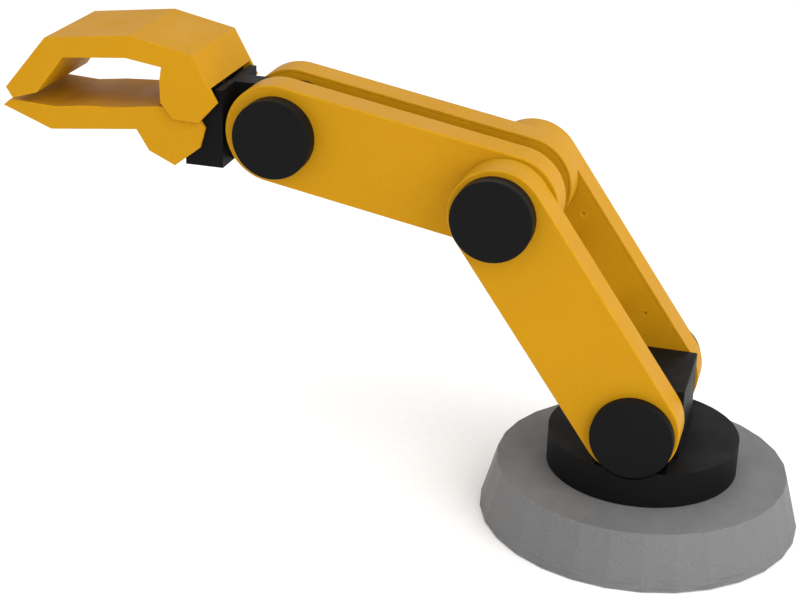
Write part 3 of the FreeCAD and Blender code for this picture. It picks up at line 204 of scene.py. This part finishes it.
# Each metal slot: its colour, its roughness, and the scale of its tool marks along X, Y and Z
METALS = {
    "screw_steel": ((0.09, 0.09, 0.095), 0.38, (900.0, 900.0, 900.0)),
    "bearing_steel": ((0.62, 0.62, 0.63), 0.18, (300.0, 300.0, 6000.0)),
    "shaft_steel": ((0.56, 0.56, 0.57), 0.22, (200.0, 6000.0, 200.0)),
    "machined_aluminium": ((0.78, 0.78, 0.79), 0.34, (5000.0, 90.0, 90.0)),
    "motor_case": ((0.28, 0.28, 0.30), 0.40, (90.0, 4000.0, 90.0)),
    "gear_brass": ((0.72, 0.52, 0.24), 0.30, (3000.0, 60.0, 3000.0)),
    "socket_metal": ((0.7, 0.7, 0.7), 0.26, (4000.0, 80.0, 80.0)),
}


class Finish:
    """One procedural material, in object coordinates, with short calls for its nodes."""

    def __init__(self, name):
        self.material = bpy.data.materials.new(name)
        self.material.use_nodes = True
        self.tree = self.material.node_tree
        self.shader = self.tree.nodes["Principled BSDF"]
        coordinates = self.node("ShaderNodeTexCoord")
        self.place = coordinates.outputs["Object"]
        self.facing = coordinates.outputs["Normal"]

    def node(self, kind, inputs=None, **settings):
        """A new node with its settings made and its inputs fed by name."""
        made = self.tree.nodes.new(kind)
        for key, value in settings.items():
            setattr(made, key, value)
        for key, value in (inputs or {}).items():
            self.feed(made.inputs[key], value)
        return made

    def feed(self, socket, value):
        """A link where the value comes from another node, or else a number on the socket."""
        if isinstance(value, bpy.types.NodeSocket):
            self.tree.links.new(value, socket)
        else:
            socket.default_value = value

    def stretched(self, scale, turn=(0.0, 0.0, 0.0)):
        """Object coordinates turned, then scaled by a different amount along each axis."""
        inputs = {"Vector": self.place, "Scale": scale, "Rotation": turn}
        return self.node("ShaderNodeMapping", inputs).outputs["Vector"]

    def noise(self, scale, detail=2.0, place=None):
        """Soft noise round a half."""
        made = self.node(
            "ShaderNodeTexNoise",
            {"Vector": place or self.place, "Scale": scale, "Detail": detail},
        )
        return made.outputs["Fac"]

    def cells(self, scale, place=None, feature="F1", distance="EUCLIDEAN"):
        """Distance from the middle of a random cell, or from its border."""
        made = self.node(
            "ShaderNodeTexVoronoi",
            {"Vector": place or self.place, "Scale": scale},
            feature=feature,
            distance=distance,
        )
        return made.outputs["Distance"]

    def wave(self, scale, place):
        made = self.node("ShaderNodeTexWave", {"Vector": place, "Scale": scale})
        return made.outputs["Fac"]

    def span(self, value, from_low, from_high, to_low=0.0, to_high=1.0):
        """A value mapped from one range to another and clamped."""
        made = self.node(
            "ShaderNodeMapRange",
            {
                "Value": value,
                "From Min": from_low,
                "From Max": from_high,
                "To Min": to_low,
                "To Max": to_high,
            },
        )
        return made.outputs["Result"]

    def maths(self, operation, first, second=0.0):
        made = self.node("ShaderNodeMath", operation=operation)
        self.feed(made.inputs[0], first)
        self.feed(made.inputs[1], second)
        return made.outputs["Value"]

    def times(self, first, second):
        return self.maths("MULTIPLY", first, second)

    def plus(self, first, second):
        return self.maths("ADD", first, second)

    def minus(self, first, second):
        return self.maths("SUBTRACT", first, second)

    def blend(self, factor, first, second):
        made = self.node("ShaderNodeMix", data_type="RGBA")
        self.feed(made.inputs["Factor"], factor)
        self.feed(made.inputs["A"], first)
        self.feed(made.inputs["B"], second)
        return made.outputs["Result"]

    def edges(self, radius):
        """1 on an outside edge and 0 on a flat, from the normals round it."""
        rounded = self.node("ShaderNodeBevel", {"Radius": radius}, samples=EDGE_SAMPLES)
        flat = self.node("ShaderNodeNewGeometry")
        made = self.node("ShaderNodeVectorMath", operation="DOT_PRODUCT")
        self.feed(made.inputs[0], rounded.outputs["Normal"])
        self.feed(made.inputs[1], flat.outputs["Normal"])
        return self.span(made.outputs["Value"], EDGE_FLAT, EDGE_TURNED)

    def hairline(self, turn, across, along, width):
        """Thin scratches that all run one way: the middle line of a stretched noise."""
        field = self.noise(1.0, 1.0, self.stretched((across, along, across), turn))
        offset = self.maths("ABSOLUTE", self.minus(field, 0.5))
        return self.span(offset, 0.0, width, 1.0, 0.0)

    def scratches(self):
        """Light scratches in three directions, kept to scattered patches."""
        total = 0.0
        for lines in SCRATCH_SETS:
            total = self.maths("MAXIMUM", total, self.hairline(*lines))
        patches = self.span(self.noise(26.0), 0.50, 0.64)
        return self.times(total, patches)

    def settled_dust(self):
        """Dust on faces that look up, in soft clouds."""
        split = self.node("ShaderNodeSeparateXYZ", {"Vector": self.facing})
        upward = self.span(split.outputs["Z"], 0.55, 1.0)
        clouds = self.span(self.noise(70.0, 5.0), 0.42, 0.72)
        return self.times(upward, clouds)

    def bump(self, height, strength, distance, normal=None):
        inputs = {"Height": height, "Strength": strength, "Distance": distance}
        if normal is not None:
            inputs["Normal"] = normal
        return self.node("ShaderNodeBump", inputs).outputs["Normal"]

    def finish(self, **inputs):
        """The material, once the shader's inputs are set: Base_Color stands for Base Color."""
        for key, value in inputs.items():
            self.feed(self.shader.inputs[key.replace("_", " ")], value)
        return self.material


def tint(colour, factor):
    """A colour made lighter or darker, with full alpha."""
    return tuple(min(1.0, c * factor) for c in colour) + (1.0,)


def moulded_plastic(name, colour, rough, grain, wear, gloss=0.09, dust=0.03):
    """Moulded plastic: fine grain, flow streaks, handling gloss, rubbed edges and scratches."""
    f = Finish(name)
    # Broad drift of tone, flow streaks, mottle and fine specks
    drift = f.span(f.noise(16.0, 3.0), 0.3, 0.7)
    flow = f.span(f.noise(1.0, 3.0, f.stretched((95.0, 95.0, 12.0))), 0.3, 0.7)
    mottle = f.span(f.noise(620.0, 3.0), 0.32, 0.68, 0.0, 0.45)
    specks = f.span(f.noise(2600.0, 1.0), 0.35, 0.65, 0.0, 0.12)
    body = f.blend(drift, tint(colour, 0.94), tint(colour, 1.05))
    body = f.blend(f.times(flow, 0.35), body, tint(colour, 0.93))
    body = f.blend(mottle, body, tint(colour, 0.90))
    body = f.blend(specks, body, tint(colour, 0.70))
    # Wear and dust
    rubbed = f.times(f.edges(PLASTIC_EDGE_REACH), f.span(f.noise(210.0), 0.40, 0.64))
    body = f.blend(f.times(rubbed, wear), body, tint(colour, 1.40))
    scratch = f.scratches()
    body = f.blend(f.times(scratch, 0.5 * wear), body, tint(colour, 1.30))
    body = f.blend(f.times(f.settled_dust(), dust), body, DUST)
    # Gloss where it is handled, rubbed or scratched
    handled = f.span(f.noise(24.0, 4.0), 0.40, 0.68)
    roughness = f.span(handled, 0.0, 1.0, rough - 0.06, rough + 0.07)
    roughness = f.minus(roughness, f.times(rubbed, 0.10))
    roughness = f.minus(roughness, f.times(scratch, 0.12))
    # Relief: grain, scratches and a slow wave
    grains = f.plus(f.noise(1500.0), f.times(f.cells(1900.0), 0.6))
    normal = f.bump(grains, grain, PLASTIC_GRAIN_DEPTH)
    normal = f.bump(f.minus(1.0, scratch), 0.25, PLASTIC_SCRATCH_DEPTH, normal)
    normal = f.bump(f.noise(30.0, 1.0), 0.04, PLASTIC_WAVE_DEPTH, normal)
    return f.finish(
        Base_Color=body,
        Roughness=roughness,
        Normal=normal,
        IOR=PLASTIC_IOR,
        Specular_IOR_Level=gloss,
    )


def powder_coat(name, colour, rough, peel, wear, scuff=0.4):
    """Powder-coated metal: orange peel, two-tone flecks, scuffs low down and worn edges."""
    f = Finish(name)
    # Broad drift of tone, then light and dark flecks
    drift = f.span(f.noise(12.0, 3.0), 0.3, 0.7)
    light_flecks = f.span(f.noise(1900.0, 1.0), 0.58, 0.66, 0.0, 0.5)
    dark_flecks = f.span(f.noise(2300.0, 1.0), 0.42, 0.34, 0.0, 0.5)
    body = f.blend(drift, tint(colour, 0.95), tint(colour, 1.05))
    body = f.blend(light_flecks, body, tint(colour, 1.45))
    body = f.blend(dark_flecks, body, tint(colour, 0.60))
    # Wear, dust and scuffs
    rubbed = f.times(f.edges(COAT_EDGE_REACH), f.span(f.noise(160.0, 3.0), 0.46, 0.62))
    body = f.blend(f.times(rubbed, wear), body, tint(colour, 1.7))
    scratch = f.scratches()
    body = f.blend(f.times(scratch, 0.35), body, tint(colour, 1.5))
    body = f.blend(f.times(f.settled_dust(), COAT_DUST), body, DUST)
    height = f.node("ShaderNodeSeparateXYZ", {"Vector": f.place}).outputs["Z"]
    low_down = f.span(height, COAT_SCUFF_TOP, COAT_SCUFF_FULL)
    streaks = f.span(f.noise(1.0, 4.0, f.stretched((60.0, 60.0, 900.0))), 0.52, 0.62)
    scuffed = f.times(low_down, streaks)
    body = f.blend(f.times(scuffed, scuff), body, tint(colour, 0.6))
    # Uneven gloss, then the relief of the peel and the scratches
    roughness = f.span(f.noise(40.0, 4.0), 0.35, 0.7, rough - 0.06, rough + 0.08)
    roughness = f.plus(roughness, f.times(scuffed, 0.12))
    peeled = f.plus(f.noise(520.0, 1.0), f.times(f.noise(1700.0, 1.0), 0.35))
    normal = f.bump(peeled, peel, COAT_PEEL_DEPTH)
    normal = f.bump(f.minus(1.0, scratch), 0.25, COAT_SCRATCH_DEPTH, normal)
    return f.finish(
        Base_Color=body,
        Roughness=roughness,
        Normal=normal,
        IOR=COAT_IOR,
        Specular_IOR_Level=COAT_GLOSS,
    )


def rubber(name, colour):
    """Matt rubber with a fine pebble and pale chalk in clouds."""
    f = Finish(name)
    chalk = f.span(f.noise(180.0, 5.0), 0.45, 0.75)
    hollows = f.span(f.noise(900.0), 0.4, 0.7, 0.0, 0.5)
    body = f.blend(f.times(chalk, 0.35), tint(colour, 1.0), CHALK)
    body = f.blend(hollows, body, tint(colour, 0.5))
    pebble = f.plus(f.cells(1100.0), f.noise(3000.0))
    roughness = f.span(chalk, 0.0, 1.0, 0.74, 0.92)
    normal = f.bump(pebble, 0.5, RUBBER_PEBBLE_DEPTH)
    return f.finish(
        Base_Color=body,
        Roughness=roughness,
        Normal=normal,
        IOR=RUBBER_IOR,
        Specular_IOR_Level=RUBBER_GLOSS,
    )


def turned_metal(name, colour, rough, axis_scale):
    """Turned or ground metal: fine tool marks along one axis, oil stain and handling marks."""
    f = Finish(name)
    marks = f.noise(1.0, 4.0, f.stretched(axis_scale))
    coarse = tuple(METAL_BAND_SCALE * scale for scale in axis_scale)
    bands = f.span(f.noise(1.0, 2.0, f.stretched(coarse)), 0.35, 0.65, 0.0, 0.20)
    stain = f.span(f.noise(45.0, 4.0), 0.40, 0.72)
    body = f.blend(stain, tint(colour, 1.0), tint(colour, METAL_OIL_SHADE))
    body = f.blend(bands, body, tint(colour, 0.84))
    scratch = f.scratches()
    body = f.blend(f.times(scratch, 0.4), body, tint(colour, 1.25))
    roughness = f.span(marks, 0.3, 0.7, rough - 0.05, rough + 0.07)
    roughness = f.plus(roughness, f.times(stain, 0.06))
    normal = f.bump(marks, 0.18, METAL_MARK_DEPTH)
    normal = f.bump(f.minus(1.0, scratch), 0.2, METAL_SCRATCH_DEPTH, normal)
    return f.finish(Base_Color=body, Roughness=roughness, Normal=normal, Metallic=1.0)


def sintered_bronze(name, colour):
    """Oil-filled bronze: open pits coloured dark as painted shade, brown oil round them and a
    burnished sheen.
    """
    f = Finish(name)
    pores_with_painted_shade = f.span(f.cells(2600.0), 0.10, 0.22, 1.0, 0.0)
    oily = f.span(f.noise(120.0, 4.0), 0.4, 0.7)
    body = f.blend(oily, tint(colour, 1.0), tint(colour, 0.62))
    # Painted shade: the pits are coloured near black to stand in for the shade inside them
    body = f.blend(f.times(pores_with_painted_shade, 0.8), body, tint(colour, 0.18))
    roughness = f.plus(f.span(oily, 0.0, 1.0, 0.42, 0.30), f.times(pores_with_painted_shade, 0.4))
    normal = f.bump(f.minus(1.0, pores_with_painted_shade), 0.6, BRONZE_PORE_DEPTH)
    return f.finish(Base_Color=body, Roughness=roughness, Normal=normal, Metallic=1.0)


def circuit_board(name, mask):
    """Solder mask over copper tracks and square pads, with tinned vias."""
    f = Finish(name)
    flat = f.stretched((1.0, 1.0, 0.0))
    lines = f.span(f.cells(210.0, flat, "DISTANCE_TO_EDGE"), 0.05, 0.07, 1.0, 0.0)
    squares = f.span(f.cells(300.0, flat, distance="CHEBYCHEV"), 0.33, 0.35, 1.0, 0.0)
    track = f.maths("MAXIMUM", lines, squares)
    via = f.span(f.cells(420.0, flat), 0.13, 0.16, 1.0, 0.0)
    cloud = f.span(f.noise(90.0, 3.0), 0.3, 0.7)
    body = f.blend(cloud, tint(mask, 0.85), tint(mask, 1.12))
    body = f.blend(f.times(track, 0.8), body, tint(mask, 2.1))
    body = f.blend(via, body, SOLDER)
    roughness = f.plus(f.span(cloud, 0.0, 1.0, 0.24, 0.34), f.times(via, 0.12))
    normal = f.bump(f.plus(track, f.times(via, 0.6)), 0.5, BOARD_TRACK_DEPTH)
    metal = f.times(via, 0.9)
    return f.finish(Base_Color=body, Roughness=roughness, Normal=normal, Metallic=metal)


def woven_sheath(name, colour):
    """Ribbon lead: ribs along its length, a light twill across them and a dull bloom, with painted
    highlight on their crests and painted shade in their grooves.
    """
    f = Finish(name)
    ribs = f.wave(330.0, f.stretched((1.0, 0.0, 0.0)))
    twill = f.wave(420.0, f.stretched((0.5, 0.5, 1.0)))
    weave_and_painted_light = f.plus(ribs, f.times(twill, 0.35))
    bloom = f.span(f.noise(60.0, 4.0), 0.4, 0.7)
    # Painted light: crests of the ribs and twill are coloured lighter as highlight, and grooves
    # darker as shade
    body = f.blend(f.span(weave_and_painted_light, 0.2, 1.2), tint(colour, 0.6), tint(colour, 1.3))
    body = f.blend(f.times(bloom, 0.25), body, BLOOM)
    roughness = f.span(bloom, 0.0, 1.0, 0.42, 0.6)
    normal = f.bump(weave_and_painted_light, 0.7, LEAD_WEAVE_DEPTH)
    return f.finish(
        Base_Color=body,
        Roughness=roughness,
        Normal=normal,
        IOR=LEAD_IOR,
        Specular_IOR_Level=LEAD_GLOSS,
    )


def make_finishes():
    """One material for each of the record's material slots."""
    made = {
        "yellow_shell": moulded_plastic(
            "yellow_plastic", YELLOW, rough=0.48, grain=0.26, wear=0.5, gloss=0.06
        ),
        "yellow_jaw": moulded_plastic(
            "yellow_jaw_plastic", YELLOW, rough=0.52, grain=0.34, wear=0.6, gloss=0.06
        ),
        "painted_screw": powder_coat(
            "yellow_screw_paint", YELLOW, rough=0.45, peel=0.2, wear=0.5
        ),
        "black_housing": moulded_plastic(
            "black_plastic", BLACK, rough=0.50, grain=0.34, wear=0.35, gloss=0.05, dust=0.01
        ),
        "black_cap": moulded_plastic(
            "black_cap_plastic", BLACK, rough=0.46, grain=0.24, wear=0.30, gloss=0.06, dust=0.01
        ),
        "grey_base": powder_coat(
            "grey_powder_coat", BASE_GREY, rough=0.54, peel=0.30, wear=0.35
        ),
        "dark_plate": powder_coat(
            "plate_coat", PLATE_GREY, rough=0.55, peel=0.3, wear=0.3, scuff=0.12
        ),
        "rubber": rubber("foot_rubber", FOOT_BLACK),
        "servo_case": moulded_plastic(
            "servo_plastic", SERVO_BLACK, rough=0.42, grain=0.2, wear=0.3
        ),
        "chip_black": moulded_plastic(
            "chip_resin", CHIP_BLACK, rough=0.5, grain=0.3, wear=0.1
        ),
        "circuit_board": circuit_board("board_mask", BOARD_GREEN),
        "lead_sheath": woven_sheath("ribbon_lead", LEAD_BLACK),
        "bronze": sintered_bronze("bronze_bush", BRONZE),
    }
    for slot, (colour, rough, scale) in METALS.items():
        made[slot] = turned_metal(slot + "_metal", colour, rough, scale)
    return made


def floor_material():
    """Pale matt studio card with a faint fibre."""
    f = Finish("studio_card")
    fibre = f.noise(220.0, 3.0)
    body = f.blend(f.span(fibre, 0.3, 0.7), CARD_DARK, CARD_LIGHT)
    normal = f.bump(fibre, 0.05, CARD_FIBRE_DEPTH)
    return f.finish(
        Base_Color=body, Roughness=CARD_ROUGHNESS, Normal=normal, Specular_IOR_Level=0.0
    )


def make_floor():
    """A flat square of card under the object."""
    mesh = bpy.data.meshes.new("studio_floor")
    h = FLOOR_HALF
    corners = [(-h, -h, 0), (h, -h, 0), (h, h, 0), (-h, h, 0)]
    mesh.from_pydata(corners, [], [(0, 1, 2, 3)])
    floor = bpy.data.objects.new("studio_floor", mesh)
    bpy.context.collection.objects.link(floor)
    mesh.materials.append(floor_material())


# ---- finishing the visible parts -------------------------------------------------

MERGE_DISTANCE = 1e-6
FLAT_ANGLE = math.radians(0.5)
CREASE_ANGLE = math.radians(30.0)
SHADE_ANGLE = math.radians(40.0)
ROUND_SEGMENTS = 2
ROUND_PROFILE = 0.5

# Nodes whose flats meet at small angles: a smaller turn than the usual one is a crease
LOW_CREASES = {
    "base_shell": math.radians(9.0),
    "upper_jaw": math.radians(1.5),
    "lower_jaw": math.radians(1.5),
}
# The nodes that show, with the width of their rounded edges
EDGE_WIDTHS = {
    "base_shell": 0.0005,
    "turret_housing": 0.0005,
    "shoulder_block": 0.0005,
    "upper_arm_left_shell": 0.0004,
    "upper_arm_right_shell": 0.0004,
    "upper_arm_left_cover": 0.0003,
    "upper_arm_right_cover": 0.0003,
    "forearm_left_shell": 0.0004,
    "forearm_right_shell": 0.0004,
    "forearm_left_cover": 0.0003,
    "forearm_right_cover": 0.0003,
    "shoulder_caps": 0.0004,
    "elbow_caps": 0.0004,
    "wrist_caps": 0.0004,
    "palm_left_half": 0.0004,
    "palm_right_half": 0.0004,
    "upper_jaw": 0.0006,
    "lower_jaw": 0.0006,
    "base_plate": 0.0004,
    "rubber_feet": 0.0006,
    "port_panel": 0.0003,
    "power_inlet": 0.0002,
    "usb_socket": 0.0002,
    "upper_arm_spacers": 0.0003,
    "forearm_spacers": 0.0003,
    "upper_arm_screws": 0.0002,
    "forearm_screws": 0.0002,
    "palm_screws": 0.0002,
    "base_screws": 0.0002,
    "upper_jaw_gear": 0.0001,
    "lower_jaw_gear": 0.0001,
    "upper_jaw_shaft": 0.0003,
    "lower_jaw_shaft": 0.0003,
    "jaw_bushes": 0.0002,
}


def rounded_mesh(name, source, width, crease, shade):
    """The source's own faces with the flat ones joined and each crease rounded."""
    bm = bmesh.new()
    bm.from_mesh(source)
    bmesh.ops.remove_doubles(bm, verts=bm.verts, dist=MERGE_DISTANCE)
    bmesh.ops.dissolve_limit(bm, angle_limit=FLAT_ANGLE, verts=bm.verts, edges=bm.edges)
    inner = [edge for edge in bm.edges if len(edge.link_faces) == 2]
    bmesh.ops.bevel(
        bm,
        geom=[edge for edge in inner if edge.calc_face_angle(0.0) > crease],
        offset=width,
        segments=ROUND_SEGMENTS,
        profile=ROUND_PROFILE,
        affect="EDGES",
        clamp_overlap=True,
    )
    for face in bm.faces:
        face.smooth = True
    for edge in bm.edges:
        edge.smooth = edge.calc_face_angle(0.0) < shade
    mesh = bpy.data.meshes.new(name)
    bm.to_mesh(mesh)
    bm.free()
    return mesh


def make_finished(node, width):
    """A piece with rounded edges that stands for the node and rides where it rides."""
    source = frame["nodes"][node]
    slot = source.material_slots[0].name
    crease = LOW_CREASES.get(node, CREASE_ANGLE)
    shade = LOW_CREASES.get(node, SHADE_ANGLE)
    mesh = rounded_mesh(node + "_finish", source.data, width, crease, shade)
    piece = bpy.data.objects.new(node + "_finish", mesh)
    bpy.context.collection.objects.link(piece)
    mesh.materials.append(FINISHES[slot])
    weigh = piece.modifiers.new("weigh", "WEIGHTED_NORMAL")
    weigh.keep_sharp = True
    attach(piece, source.parent.name.removeprefix("body:"))
    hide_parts(node)


# ---- the scene -------------------------------------------------------------------

make_camera()
make_world()
make_light("key", KEY_DIRECTION, KEY_DISTANCE, KEY_SIZE, KEY_POWER)
make_light("fill", FILL_DIRECTION, FILL_DISTANCE, FILL_SIZE, FILL_POWER)
make_floor()
FINISHES = make_finishes()

for name, width in EDGE_WIDTHS.items():
    make_finished(name, width)
for node in frame["nodes"].values():
    slot = node.material_slots[0]
    slot.material = FINISHES[slot.name]
bpy.context.scene.view_settings.view_transform = "Standard"
